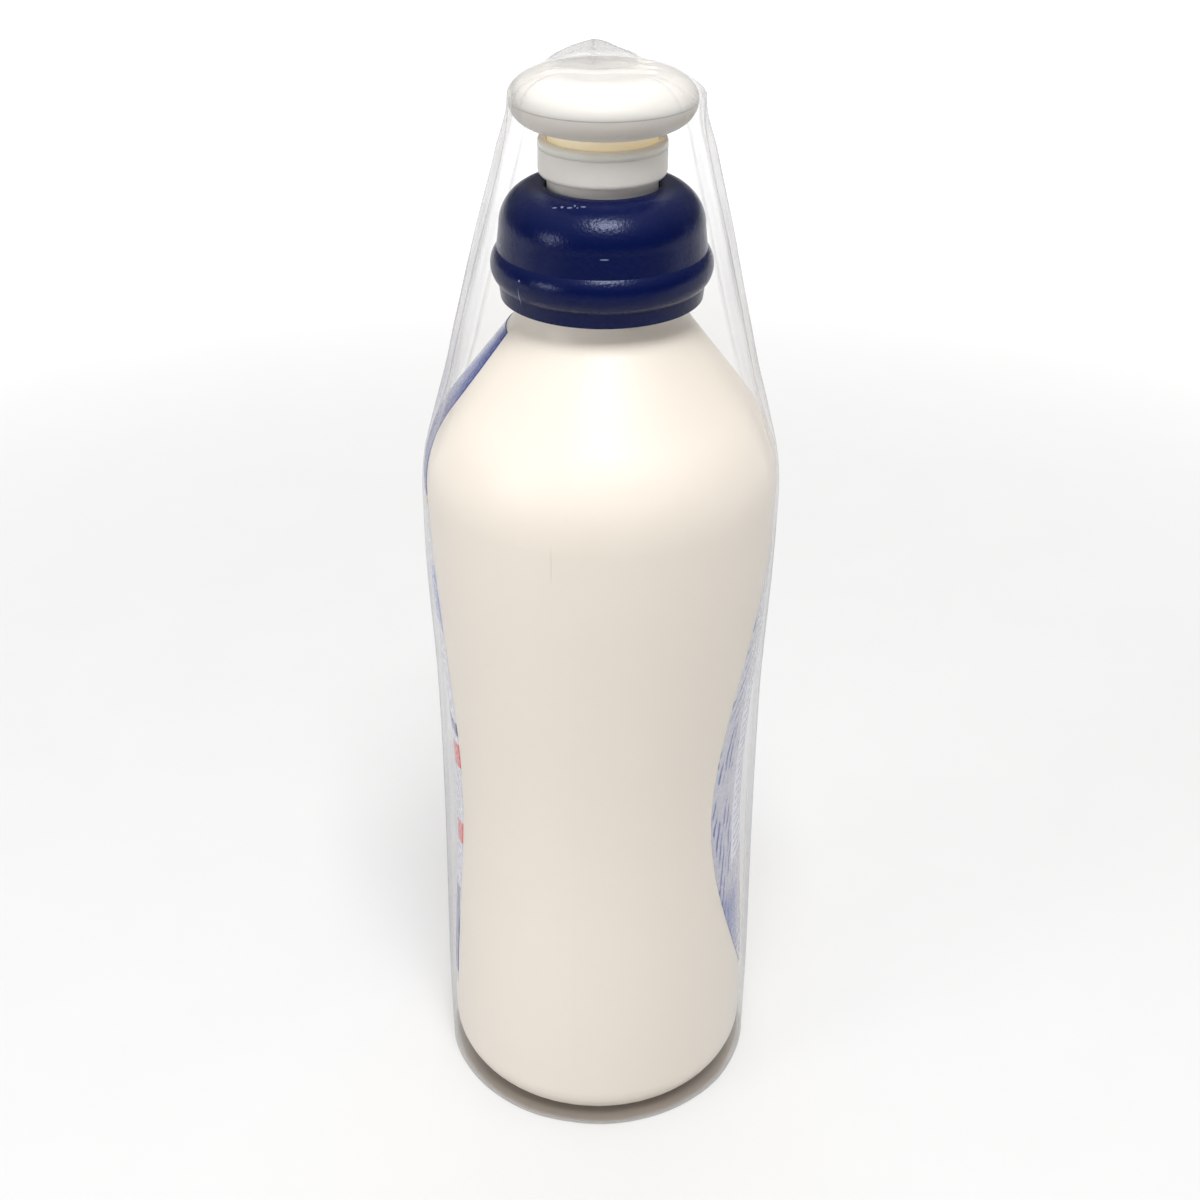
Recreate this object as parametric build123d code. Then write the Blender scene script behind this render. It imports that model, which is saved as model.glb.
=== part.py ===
from build123d import *

import math
import os

# Body lotion bottle with a pump: a cream waisted bottle, a navy domed closure, a white
# mushroom pump head locked down on its collar, and a clear film hood over the whole pack.
# Millimetres. The origin is the centre of the base, +Z is up and the front label faces -Y.

# Driving dimensions of the bottle
WALL = 1.0
BASE_RADIUS = 29.5
HEEL_RADIUS = 7.0
PUSH_UP_RADIUS = 19.5
PUSH_UP_HEIGHT = 2.5
WAIST_RADIUS = 27.6
WAIST_HEIGHT = 65.0
SHOULDER_RADIUS = 30.9
SHOULDER_HEIGHT = 128.5
SHOULDER_ARC = 24.0
SHOULDER_SLOPE = 37.5
NECK_RADIUS = 14.0
NECK_BORE = 12.0
NECK_FILLET = 8.0
NECK_TOP = 173.0

# Driving dimensions of the labels
LABEL_THICKNESS = 0.15
FRONT_BOTTOM = 16.0
FRONT_TOP = 156.0
FRONT_WAIST_HALF = 14.2
FRONT_FOOT_HALF = 12.0
FRONT_SHOULDER_HALF = 12.6
FRONT_NECK_HALF = 6.3
BACK_BOTTOM = 20.0
BACK_TOP = 118.0
BACK_HALF = 14.2

# Driving dimensions of the closure
CLOSURE_DROP = 11.2
CLOSURE_HEIGHT = 18.8
CLOSURE_THREAD_GAP = 1.3
SKIRT_RADIUS = 16.9
BEAD_RADIUS = 18.5
BEAD_BOTTOM = 2.5
BEAD_TOP = 8.2
DOME_RADIUS = 17.0
DOME_ARC = 7.0
DOME_WALL = 1.4
CLOSURE_SEAT_WALL = 1.4
HOLE_LIP = 0.4
HOLE_GAP = 0.35
SKIRT_FLARE = 0.3
BEAD_STEP = 0.4

# Driving dimensions of the pump body
GASKET_THICKNESS = 1.0
FLANGE_THICKNESS = 1.6
FLANGE_OVERHANG = 1.6
BARREL_BORE = 5.8
BARREL_WALL = 1.2
BARREL_DEPTH = 50.0
BARREL_FLOOR = 1.6
UPSTAND_HEIGHT = 4.4
UPSTAND_WALL = 1.8
INLET_RADIUS = 4.4
INLET_LENGTH = 16.4
INLET_FILLET = 0.8
BALL_RADIUS = 2.5
BALL_LIFT = 1.5
BALL_PLAY = 0.05
CHAMBER_RADIUS = 3.1
CHAMBER_DEPTH = 6.0
SEAT_BORE = 1.7
SEAT_LENGTH = 2.0
DIP_RADIUS = 2.5
DIP_WALL = 0.9
DIP_CLEARANCE = 6.0

# Driving dimensions of the lock collar
COLLAR_RADIUS = 10.5
COLLAR_WALL = 1.35
COLLAR_HEIGHT = 5.5
COLLAR_FLOOR = 0.8
COLLAR_GAP = 1.3
COLLAR_CHAMFER = 0.9
COLLAR_FILLET = 1.0
NECK_RING_WALL = 1.4
COLLAR_WEB = 2.3
GUIDE_WALL = 2.0

# Driving dimensions of the stem, piston and spring
STEM_RADIUS = 3.5
STEM_BORE = 2.2
STEM_FOOT = 16.0
STEM_STOP_RADIUS = 4.6
STEM_STOP_HEIGHT = 1.5
HEAD_TRAVEL = 14.0
PISTON_HEIGHT = 7.0
PISTON_LIP = 1.4
PISTON_WAIST = 0.6
ROD_FLANGE_RADIUS = 5.1
ROD_FLANGE = 1.3
ROD_LENGTH = 16.0
ROD_WEB = 1.2
CAGE_THICKNESS = 1.2
CAGE_BOSS_RADIUS = 3.2
CAGE_BOSS_HEIGHT = 1.8
CAGE_WINDOW = 1.1
CAGE_WINDOWS = 4
WIPER_THICKNESS = 1.6
SPRING_RADIUS = 4.45
SPRING_WIRE = 0.45
SPRING_TURNS = 6
SPRING_HEIGHT = 10.2

# Driving dimensions of the pump head
HEAD_RADIUS = 15.17
HEAD_GAP = 2.8
CAP_HEIGHT = 4.2
CAP_WALL = 1.2
CAP_FLAT = 8.0
CAP_DISH = 0.25
BOWL_HEIGHT = 3.9
BOWL_RIM = 12.3
BOWL_WALL = 1.3
WEB_THICKNESS = 1.0
WEB_RECESS = 0.7
BOSS_RADIUS = 5.2
BOSS_LENGTH = 7.0
SLEEVE_WALL = 1.2
OUTLET_RADIUS = 1.6
OUTLET_BORE = 1.05
OUTLET_SEAT = 2.0
OUTLET_TURN = 190.0

# Driving dimensions of the film hood
FILM_THICKNESS = 0.2
FILM_GAP = 0.35
FILM_HEM = 0.3
FILM_TENT = 3.3
FILM_PEAK_TIP = 1.0

# Clearances
SNUG = 0.02
RUNNING = 0.05
LOOSE = 0.25

# Heights that follow from the values above
GASKET_TOP = NECK_TOP + GASKET_THICKNESS
FLANGE_TOP = GASKET_TOP + FLANGE_THICKNESS
UPSTAND_TOP = FLANGE_TOP + UPSTAND_HEIGHT
BARREL_BOTTOM = GASKET_TOP - BARREL_DEPTH
INLET_BOTTOM = BARREL_BOTTOM - BARREL_FLOOR - INLET_LENGTH
SEAT_TOP = BARREL_BOTTOM - CHAMBER_DEPTH
SEAT_BOTTOM = SEAT_TOP - SEAT_LENGTH
CLOSURE_BOTTOM = NECK_TOP - CLOSURE_DROP
DOME_TOP = CLOSURE_BOTTOM + CLOSURE_HEIGHT
DOME_SPRING = DOME_TOP - DOME_ARC
COLLAR_BOTTOM = DOME_TOP + COLLAR_GAP
COLLAR_TOP = COLLAR_BOTTOM + COLLAR_HEIGHT
COLLAR_CAVITY = COLLAR_BOTTOM + COLLAR_FLOOR
GUIDE_TOP = COLLAR_CAVITY - COLLAR_WEB
SPRING_BOTTOM = BARREL_BOTTOM + CAGE_THICKNESS
ROD_BOTTOM = SPRING_BOTTOM + SPRING_HEIGHT
PISTON_BOTTOM = ROD_BOTTOM + ROD_FLANGE
PISTON_TOP = PISTON_BOTTOM + PISTON_HEIGHT
STEM_BOTTOM = PISTON_BOTTOM + PISTON_LIP
STOP_BOTTOM = PISTON_TOP + 2 * LOOSE
STOP_TOP = STOP_BOTTOM + STEM_STOP_HEIGHT
WIPER_BOTTOM = STOP_TOP + HEAD_TRAVEL + LOOSE
GUIDE_BOTTOM = WIPER_BOTTOM + WIPER_THICKNESS
BOWL_BOTTOM = COLLAR_TOP + HEAD_GAP
HEAD_PARTING = BOWL_BOTTOM + BOWL_HEIGHT
WEB_BOTTOM = BOWL_BOTTOM + WEB_RECESS
WEB_TOP = WEB_BOTTOM + WEB_THICKNESS
STEM_TOP = WEB_TOP
CAP_TOP = HEAD_PARTING + CAP_HEIGHT
FILM_PEAK = CAP_TOP + FILM_TENT

# Radii that follow from the values above
BARREL_RADIUS = BARREL_BORE + BARREL_WALL
UPSTAND_RADIUS = BARREL_BORE + UPSTAND_WALL
FLANGE_RADIUS = NECK_BORE + FLANGE_OVERHANG
NECK_RING_BORE = UPSTAND_RADIUS + RUNNING
NECK_RING_RADIUS = NECK_RING_BORE + NECK_RING_WALL
HOLE_RADIUS = NECK_RING_RADIUS + HOLE_GAP
COLLAR_BORE = COLLAR_RADIUS - COLLAR_WALL
SLEEVE_RADIUS = COLLAR_BORE - LOOSE
STEM_GUIDE = STEM_RADIUS + RUNNING
WIDEST_RADIUS = max(SHOULDER_RADIUS, BASE_RADIUS)


def turned(*edges):
    """Turns a closed outline, drawn as radius and height, once round the Z axis."""
    return revolve(Plane.XZ * make_face(Curve() + list(edges)), Axis.Z)


def turned_points(*points):
    """Turns a closed outline of straight runs round the Z axis."""
    return turned(Polyline(*points, close=True))


def tube(inner, outer, bottom, top):
    """A plain ring or pipe on the Z axis."""
    height = top - bottom
    at = Pos(0, 0, bottom + height / 2)
    return at * (Cylinder(outer, height) - Cylinder(inner, height))


def bottle_side(inset):
    """The bottle's side from heel to neck, moved in by inset, as edges and its end point."""
    slope = math.radians(SHOULDER_SLOPE)
    cos_slope, sin_slope = math.cos(slope), math.sin(slope)
    heel_centre = (BASE_RADIUS - HEEL_RADIUS, HEEL_RADIUS)
    heel = CenterArc(heel_centre, HEEL_RADIUS - inset, -90, 90)
    body = Spline(
        heel @ 1,
        (WAIST_RADIUS - inset, WAIST_HEIGHT),
        (SHOULDER_RADIUS - inset, SHOULDER_HEIGHT),
        tangents=[(0, 1), (0, 1)],
    )
    arc_centre = (SHOULDER_RADIUS - SHOULDER_ARC, SHOULDER_HEIGHT)
    shoulder = CenterArc(arc_centre, SHOULDER_ARC - inset, 0, SHOULDER_SLOPE)
    arc_end_radius = arc_centre[0] + SHOULDER_ARC * cos_slope
    arc_end_height = arc_centre[1] + SHOULDER_ARC * sin_slope
    root_radius = NECK_RADIUS + NECK_FILLET
    rise = (NECK_FILLET - (root_radius - arc_end_radius) * cos_slope) / sin_slope
    root_centre = (root_radius, arc_end_height + rise)
    root = CenterArc(root_centre, NECK_FILLET + inset, 180 + SHOULDER_SLOPE, -SHOULDER_SLOPE)
    cone = Line(shoulder @ 1, root @ 0)
    return [heel, body, shoulder, cone, root], root @ 1


def bottle_solid(inset, top):
    """The bottle's outer form, or with an inset its inner one, as one full solid."""
    side, side_end = bottle_side(inset)
    crown = (0, inset + PUSH_UP_HEIGHT)
    arc = (PUSH_UP_RADIUS**2 + PUSH_UP_HEIGHT**2) / (2 * PUSH_UP_HEIGHT)
    angle = math.degrees(math.asin(PUSH_UP_RADIUS / arc))
    push_up = CenterArc((0, crown[1] - arc), arc, 90, -angle)
    return turned(
        push_up,
        Line(push_up @ 1, side[0] @ 0),
        *side,
        Line(side_end, (side_end.X, top)),
        Line((side_end.X, top), (0, top)),
        Line((0, top), crown),
    )


def make_bottle():
    side, side_end = bottle_side(0)
    neck_start = side_end.Y - NECK_FILLET / 3
    body_space = Pos(0, 0, neck_start / 2) * Cylinder(SHOULDER_RADIUS, neck_start)
    neck_space = Pos(0, 0, NECK_TOP / 2) * Cylinder(NECK_BORE, NECK_TOP)
    inner = bottle_solid(WALL, NECK_TOP) & (body_space + neck_space)
    return bottle_solid(0, NECK_TOP) - inner


def label_skin():
    """A skin of the label's thickness over the outside of the bottle."""
    return bottle_solid(-LABEL_THICKNESS, NECK_TOP) - bottle_solid(0, NECK_TOP)


def label_cutter(outline, side):
    """A flat label outline pushed through one side of the bottle: -1 front, 1 back."""
    face = Plane.XZ * make_face(outline)
    return extrude(face, amount=-side * 2 * SHOULDER_RADIUS)


def make_front_label():
    right = Spline(
        (FRONT_FOOT_HALF, FRONT_BOTTOM),
        (FRONT_WAIST_HALF, WAIST_HEIGHT),
        (FRONT_SHOULDER_HALF, SHOULDER_HEIGHT),
        (FRONT_NECK_HALF, FRONT_TOP),
    )
    left = mirror(right, Plane.YZ)
    outline = Curve() + [
        right,
        left,
        Line(right @ 0, left @ 0),
        Line(right @ 1, left @ 1),
    ]
    return label_skin() & label_cutter(outline, -1)


def make_back_label():
    middle = (BACK_BOTTOM + BACK_TOP) / 2
    right = ThreePointArc((0, BACK_BOTTOM), (BACK_HALF, middle), (0, BACK_TOP))
    outline = Curve() + [right, mirror(right, Plane.YZ)]
    return label_skin() & label_cutter(outline, 1)


def make_closure():
    bore = NECK_RADIUS + CLOSURE_THREAD_GAP
    bead_low = CLOSURE_BOTTOM + BEAD_BOTTOM
    bead_high = CLOSURE_BOTTOM + BEAD_TOP
    bead_middle = (bead_low + bead_high) / 2
    skirt = Line((SKIRT_RADIUS, CLOSURE_BOTTOM), (SKIRT_RADIUS + SKIRT_FLARE, bead_low))
    bead_end = (DOME_RADIUS + BEAD_STEP, bead_high)
    bead = ThreePointArc(skirt @ 1, (BEAD_RADIUS, bead_middle), bead_end)
    side = Line(bead @ 1, (DOME_RADIUS, DOME_SPRING))
    arc_centre = (DOME_RADIUS - DOME_ARC, DOME_SPRING)
    dome = CenterArc(arc_centre, DOME_ARC, 0, 90)
    seat_bottom = FLANGE_TOP + RUNNING
    seat_radius = HOLE_RADIUS + CLOSURE_SEAT_WALL
    inside = DOME_ARC - DOME_WALL
    inside_start = math.degrees(math.acos((bore - arc_centre[0]) / inside))
    inside_end = math.degrees(math.acos((seat_radius - arc_centre[0]) / inside))
    roof = CenterArc(arc_centre, inside, inside_start, inside_end - inside_start)
    lip = Line(dome @ 1, (HOLE_RADIUS, DOME_TOP - HOLE_LIP))
    return turned(
        skirt,
        bead,
        side,
        dome,
        lip,
        Line(lip @ 1, (HOLE_RADIUS, seat_bottom)),
        Line((HOLE_RADIUS, seat_bottom), (seat_radius, seat_bottom)),
        Line((seat_radius, seat_bottom), roof @ 1),
        roof,
        Line(roof @ 0, (bore, CLOSURE_BOTTOM)),
        Line((bore, CLOSURE_BOTTOM), skirt @ 0),
    )


def make_neck_gasket():
    return tube(BARREL_RADIUS + LOOSE, NECK_RADIUS - LOOSE, NECK_TOP, GASKET_TOP)


def make_pump_housing():
    socket = DIP_RADIUS + SNUG
    floor_bottom = BARREL_BOTTOM - BARREL_FLOOR
    body = turned_points(
        (SEAT_BORE, SEAT_BOTTOM),
        (socket, SEAT_BOTTOM),
        (socket, INLET_BOTTOM),
        (INLET_RADIUS, INLET_BOTTOM),
        (INLET_RADIUS, floor_bottom),
        (BARREL_RADIUS, floor_bottom),
        (BARREL_RADIUS, GASKET_TOP),
        (FLANGE_RADIUS, GASKET_TOP),
        (FLANGE_RADIUS, FLANGE_TOP),
        (UPSTAND_RADIUS, FLANGE_TOP),
        (UPSTAND_RADIUS, UPSTAND_TOP),
        (BARREL_BORE, UPSTAND_TOP),
        (BARREL_BORE, BARREL_BOTTOM),
        (CHAMBER_RADIUS, BARREL_BOTTOM),
        (CHAMBER_RADIUS, SEAT_TOP),
        (SEAT_BORE, SEAT_TOP),
    )
    step = body.edges().filter_by(GeomType.CIRCLE).filter_by(
        lambda edge: abs(edge.radius - BARREL_RADIUS) < SNUG
        and abs(edge.center().Z - floor_bottom) < SNUG
    )
    return chamfer(step, INLET_FILLET)


def make_dip_tube():
    return tube(DIP_RADIUS - DIP_WALL, DIP_RADIUS, DIP_CLEARANCE, SEAT_BOTTOM)


def make_inlet_ball():
    drop = math.sqrt(BALL_RADIUS**2 - SEAT_BORE**2)
    return Pos(0, 0, SEAT_TOP + drop + BALL_PLAY) * Sphere(BALL_RADIUS)


def make_ball_cage():
    disc = tube(SEAT_BORE, BARREL_BORE - SNUG, BARREL_BOTTOM, SPRING_BOTTOM)
    boss = tube(SEAT_BORE, CAGE_BOSS_RADIUS, SPRING_BOTTOM, SPRING_BOTTOM + CAGE_BOSS_HEIGHT)
    middle = (CAGE_BOSS_RADIUS + BARREL_BORE) / 2 - SPRING_WIRE
    hole = Pos(0, 0, BARREL_BOTTOM + CAGE_THICKNESS / 2) * Cylinder(CAGE_WINDOW / 2, CAGE_THICKNESS)
    windows = PolarLocations(middle, CAGE_WINDOWS) * hole
    return disc + boss - windows


def make_lock_collar():
    guide_radius = BARREL_BORE - RUNNING
    section = make_face(
        Polyline(
            (STEM_GUIDE, GUIDE_BOTTOM),
            (guide_radius, GUIDE_BOTTOM),
            (guide_radius, GUIDE_TOP),
            (NECK_RING_BORE, GUIDE_TOP),
            (NECK_RING_BORE, FLANGE_TOP),
            (NECK_RING_RADIUS, FLANGE_TOP),
            (NECK_RING_RADIUS, COLLAR_BOTTOM),
            (COLLAR_RADIUS, COLLAR_BOTTOM),
            (COLLAR_RADIUS, COLLAR_TOP),
            (COLLAR_BORE, COLLAR_TOP),
            (COLLAR_BORE, COLLAR_CAVITY),
            (STEM_GUIDE, COLLAR_CAVITY),
            close=True,
        )
    )
    outer = section.vertices().filter_by(lambda v: v.X > COLLAR_RADIUS - SNUG).sort_by(Axis.Y)
    section = fillet(outer[0], COLLAR_FILLET)
    outer = section.vertices().filter_by(lambda v: v.X > COLLAR_RADIUS - SNUG).sort_by(Axis.Y)
    section = chamfer(outer[-1], COLLAR_CHAMFER)
    return revolve(Plane.XZ * section, Axis.Z)


def make_stem_wiper():
    return tube(STEM_RADIUS + SNUG, BARREL_BORE - SNUG, WIPER_BOTTOM, GUIDE_BOTTOM)


def make_pump_stem():
    pipe = tube(STEM_BORE, STEM_RADIUS, STEM_BOTTOM, STEM_TOP)
    return pipe + tube(STEM_BORE, STEM_STOP_RADIUS, STOP_BOTTOM, STOP_TOP)


def make_piston():
    seal = BARREL_BORE - RUNNING
    waist = STEM_RADIUS + PISTON_WAIST
    bore = STEM_RADIUS + SNUG
    return turned_points(
        (bore, PISTON_BOTTOM),
        (seal, PISTON_BOTTOM),
        (seal, PISTON_BOTTOM + PISTON_LIP),
        (waist, PISTON_BOTTOM + 2 * PISTON_LIP),
        (waist, PISTON_TOP - 2 * PISTON_LIP),
        (seal, PISTON_TOP - PISTON_LIP),
        (seal, PISTON_TOP),
        (bore, PISTON_TOP),
    )


def make_piston_rod():
    flange = Pos(0, 0, ROD_BOTTOM + ROD_FLANGE / 2) * Cylinder(ROD_FLANGE_RADIUS, ROD_FLANGE)
    middle = Pos(0, 0, PISTON_BOTTOM + ROD_LENGTH / 2)
    web = Box(2 * STEM_RADIUS, ROD_WEB, ROD_LENGTH)
    cross = web + Rot(0, 0, 90) * web
    shaft = cross & Cylinder(STEM_BORE - SNUG, ROD_LENGTH)
    return flange + middle * shaft


def make_return_spring():
    coil_height = SPRING_HEIGHT - 2 * SPRING_WIRE
    pitch = coil_height / SPRING_TURNS
    path = Helix(pitch, coil_height, SPRING_RADIUS)
    section = Plane(path @ 0, z_dir=path % 0) * Circle(SPRING_WIRE)
    wire = sweep(section, path)
    return Pos(0, 0, SPRING_BOTTOM + SPRING_WIRE) * wire


def outlet_cylinder(radius, start, end):
    """A bar along the outlet, from start to end of the radius, on one side of the head."""
    bar = Rot(0, 90, 0) * Cylinder(radius, end - start)
    return Rot(0, 0, OUTLET_TURN) * Pos((start + end) / 2, 0, HEAD_PARTING) * bar


def cap_form(wall):
    """The upper half of the head as a full solid, thinner by wall."""
    reach = HEAD_RADIUS - CAP_FLAT - wall
    rim = EllipticalCenterArc((CAP_FLAT, HEAD_PARTING), reach, CAP_HEIGHT - wall, arc_size=90)
    top = CAP_TOP - wall
    crown = (0, top - CAP_DISH)
    return turned(
        rim,
        Spline(rim @ 1, crown, tangents=[(-1, 0), (-1, 0)]),
        Line(crown, (0, HEAD_PARTING)),
        Line((0, HEAD_PARTING), rim @ 0),
    )


def make_head_cap():
    shell = cap_form(0) - cap_form(CAP_WALL)
    return shell - outlet_cylinder(OUTLET_RADIUS + SNUG, BOSS_RADIUS, HEAD_RADIUS)


def bowl_form(wall):
    """The lower half of the head as a full solid, thinner by wall."""
    fall = BOWL_HEIGHT - wall
    step = HEAD_RADIUS - BOWL_RIM
    arc = (step**2 + fall**2) / (2 * step)
    angle = math.degrees(math.asin(fall / arc))
    centre = (HEAD_RADIUS - wall - arc, HEAD_PARTING)
    side = CenterArc(centre, arc, -angle, angle)
    return turned(
        side,
        Line(side @ 1, (0, HEAD_PARTING)),
        Line((0, HEAD_PARTING), (0, HEAD_PARTING - fall)),
        Line((0, HEAD_PARTING - fall), side @ 0),
    )


def make_head_base():
    boss_top = HEAD_PARTING + OUTLET_RADIUS + WEB_THICKNESS / 2
    boss_bottom = WEB_BOTTOM - BOSS_LENGTH
    bowl = bowl_form(0)
    upper_hollow = bowl_form(BOWL_WALL) & tube_space(WEB_TOP, HEAD_PARTING)
    rim_space = Pos(0, 0, BOWL_BOTTOM + WEB_RECESS / 2) * Cylinder(BOWL_RIM - BOWL_WALL, WEB_RECESS)
    boss = Pos(0, 0, (boss_bottom + boss_top) / 2) * Cylinder(BOSS_RADIUS, boss_top - boss_bottom)
    socket_height = STEM_TOP - boss_bottom + RUNNING
    socket = Pos(0, 0, boss_bottom + socket_height / 2) * Cylinder(STEM_GUIDE, socket_height)
    rise_height = HEAD_PARTING - STEM_TOP
    rise = Pos(0, 0, STEM_TOP + rise_height / 2) * Cylinder(STEM_BORE, rise_height)
    body = bowl - upper_hollow - rim_space + boss
    outlet = outlet_cylinder(OUTLET_BORE, 0, BOSS_RADIUS)
    seat = outlet_cylinder(OUTLET_RADIUS + SNUG, BOSS_RADIUS - OUTLET_SEAT, HEAD_RADIUS)
    return body - socket - rise - outlet - seat


def tube_space(bottom, top):
    """A wide disc that keeps only what lies between two heights."""
    return Pos(0, 0, (bottom + top) / 2) * Cylinder(2 * HEAD_RADIUS, top - bottom)


def make_lock_sleeve():
    return tube(SLEEVE_RADIUS - SLEEVE_WALL, SLEEVE_RADIUS, COLLAR_CAVITY + LOOSE, WEB_BOTTOM)


def make_outlet_tube():
    pipe = outlet_cylinder(OUTLET_RADIUS, BOSS_RADIUS - OUTLET_SEAT, HEAD_RADIUS)
    pipe = pipe & (cap_form(0) + bowl_form(0))
    return pipe - outlet_cylinder(OUTLET_BORE, 0, HEAD_RADIUS)


def film_form(grow):
    """The space under the film hood as a full solid, larger by grow."""
    off = FILM_GAP + grow
    foot = (WIDEST_RADIUS + off, FILM_HEM)
    hip_centre = (WIDEST_RADIUS - SHOULDER_ARC, SHOULDER_HEIGHT)
    hip_radius = SHOULDER_ARC + off
    rim_centre = (CAP_FLAT, HEAD_PARTING)
    rim_reach = HEAD_RADIUS - CAP_FLAT + off
    rim_height = CAP_HEIGHT + off
    lean = tangent_angle(hip_centre, hip_radius, (HEAD_RADIUS + off, HEAD_PARTING))
    start = math.degrees(math.atan(rim_height / rim_reach * math.tan(math.radians(lean))))
    rim = EllipticalCenterArc(rim_centre, rim_reach, rim_height, start, arc_size=90 - start)
    lean = tangent_angle(hip_centre, hip_radius, tuple(rim @ 0))
    hip = CenterArc(hip_centre, hip_radius, 0, lean)
    peak = (0, FILM_PEAK + grow)
    peak_edge = (FILM_PEAK_TIP, FILM_PEAK + grow)
    return turned(
        Line((0, FILM_HEM), foot),
        Line(foot, hip @ 0),
        hip,
        Line(hip @ 1, rim @ 0),
        rim,
        Line(rim @ 1, peak_edge),
        Line(peak_edge, peak),
        Line(peak, (0, FILM_HEM)),
    )


def tangent_angle(centre, radius, point):
    """Angle on a circle, in degrees, from which a tangent line runs up to the point."""
    across, up = point[0] - centre[0], point[1] - centre[1]
    return math.degrees(math.atan2(up, across) - math.acos(radius / math.hypot(across, up)))


def make_film_hood():
    return film_form(FILM_THICKNESS) - film_form(0)


PARTS = {
    "bottle": make_bottle,
    "front_label": make_front_label,
    "back_label": make_back_label,
    "closure": make_closure,
    "neck_gasket": make_neck_gasket,
    "pump_housing": make_pump_housing,
    "dip_tube": make_dip_tube,
    "inlet_ball": make_inlet_ball,
    "ball_cage": make_ball_cage,
    "return_spring": make_return_spring,
    "lock_collar": make_lock_collar,
    "stem_wiper": make_stem_wiper,
    "pump_stem": make_pump_stem,
    "piston": make_piston,
    "piston_rod": make_piston_rod,
    "head_base": make_head_base,
    "head_cap": make_head_cap,
    "lock_sleeve": make_lock_sleeve,
    "outlet_tube": make_outlet_tube,
    "film_hood": make_film_hood,
}

os.makedirs("parts", exist_ok=True)
for name, make in PARTS.items():
    export_step(make(), f"parts/{name}.step")
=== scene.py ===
import math

import bmesh
import bpy
import numpy as np
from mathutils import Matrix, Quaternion, Vector


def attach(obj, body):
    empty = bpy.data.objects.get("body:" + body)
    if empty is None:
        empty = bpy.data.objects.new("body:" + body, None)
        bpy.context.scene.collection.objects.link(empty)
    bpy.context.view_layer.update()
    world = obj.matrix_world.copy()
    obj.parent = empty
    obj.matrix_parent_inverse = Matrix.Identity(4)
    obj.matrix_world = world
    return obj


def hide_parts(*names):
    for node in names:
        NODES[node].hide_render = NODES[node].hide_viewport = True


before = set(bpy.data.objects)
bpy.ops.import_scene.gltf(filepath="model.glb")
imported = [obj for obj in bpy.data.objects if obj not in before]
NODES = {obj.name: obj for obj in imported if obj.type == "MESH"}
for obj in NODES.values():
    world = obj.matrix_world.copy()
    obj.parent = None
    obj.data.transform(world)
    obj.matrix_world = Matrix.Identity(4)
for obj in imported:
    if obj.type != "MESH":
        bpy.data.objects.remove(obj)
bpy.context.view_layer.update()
MM = 0.001

# The camera stands 10 degrees round from +X, so that the front label is at its left limb
CAMERA_TURN = math.radians(10)
CAMERA_DISTANCE = 277.96 * MM
CAMERA_HEIGHT = 263.17 * MM
CAMERA_PITCH = math.radians(30.03)
CAMERA_ROLL = math.radians(0.35)
CAMERA_LENS = 52.4
SENSOR = 36.0
TOWARD = Vector((math.cos(CAMERA_TURN), math.sin(CAMERA_TURN), 0))
RIGHTWARD = Vector((-math.sin(CAMERA_TURN), math.cos(CAMERA_TURN), 0))

# Radius of the floor, in metres
FLOOR_RADIUS = 5.0

# Sizes of the bottle and the head, in millimetres, as the solids have them
SHOULDER_HEIGHT = 128.5
HEAD_RADIUS = 15.17
HEAD_PARTING = 194.1
CAP_FLAT = 8.0
CAP_HEIGHT = 4.2


def node_tree(name):
    """A new material, and the Tree that adds and links its nodes."""
    material = bpy.data.materials.new(name)
    material.use_nodes = True
    tree = material.node_tree
    tree.nodes.clear()
    return material, Tree(tree)


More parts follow.
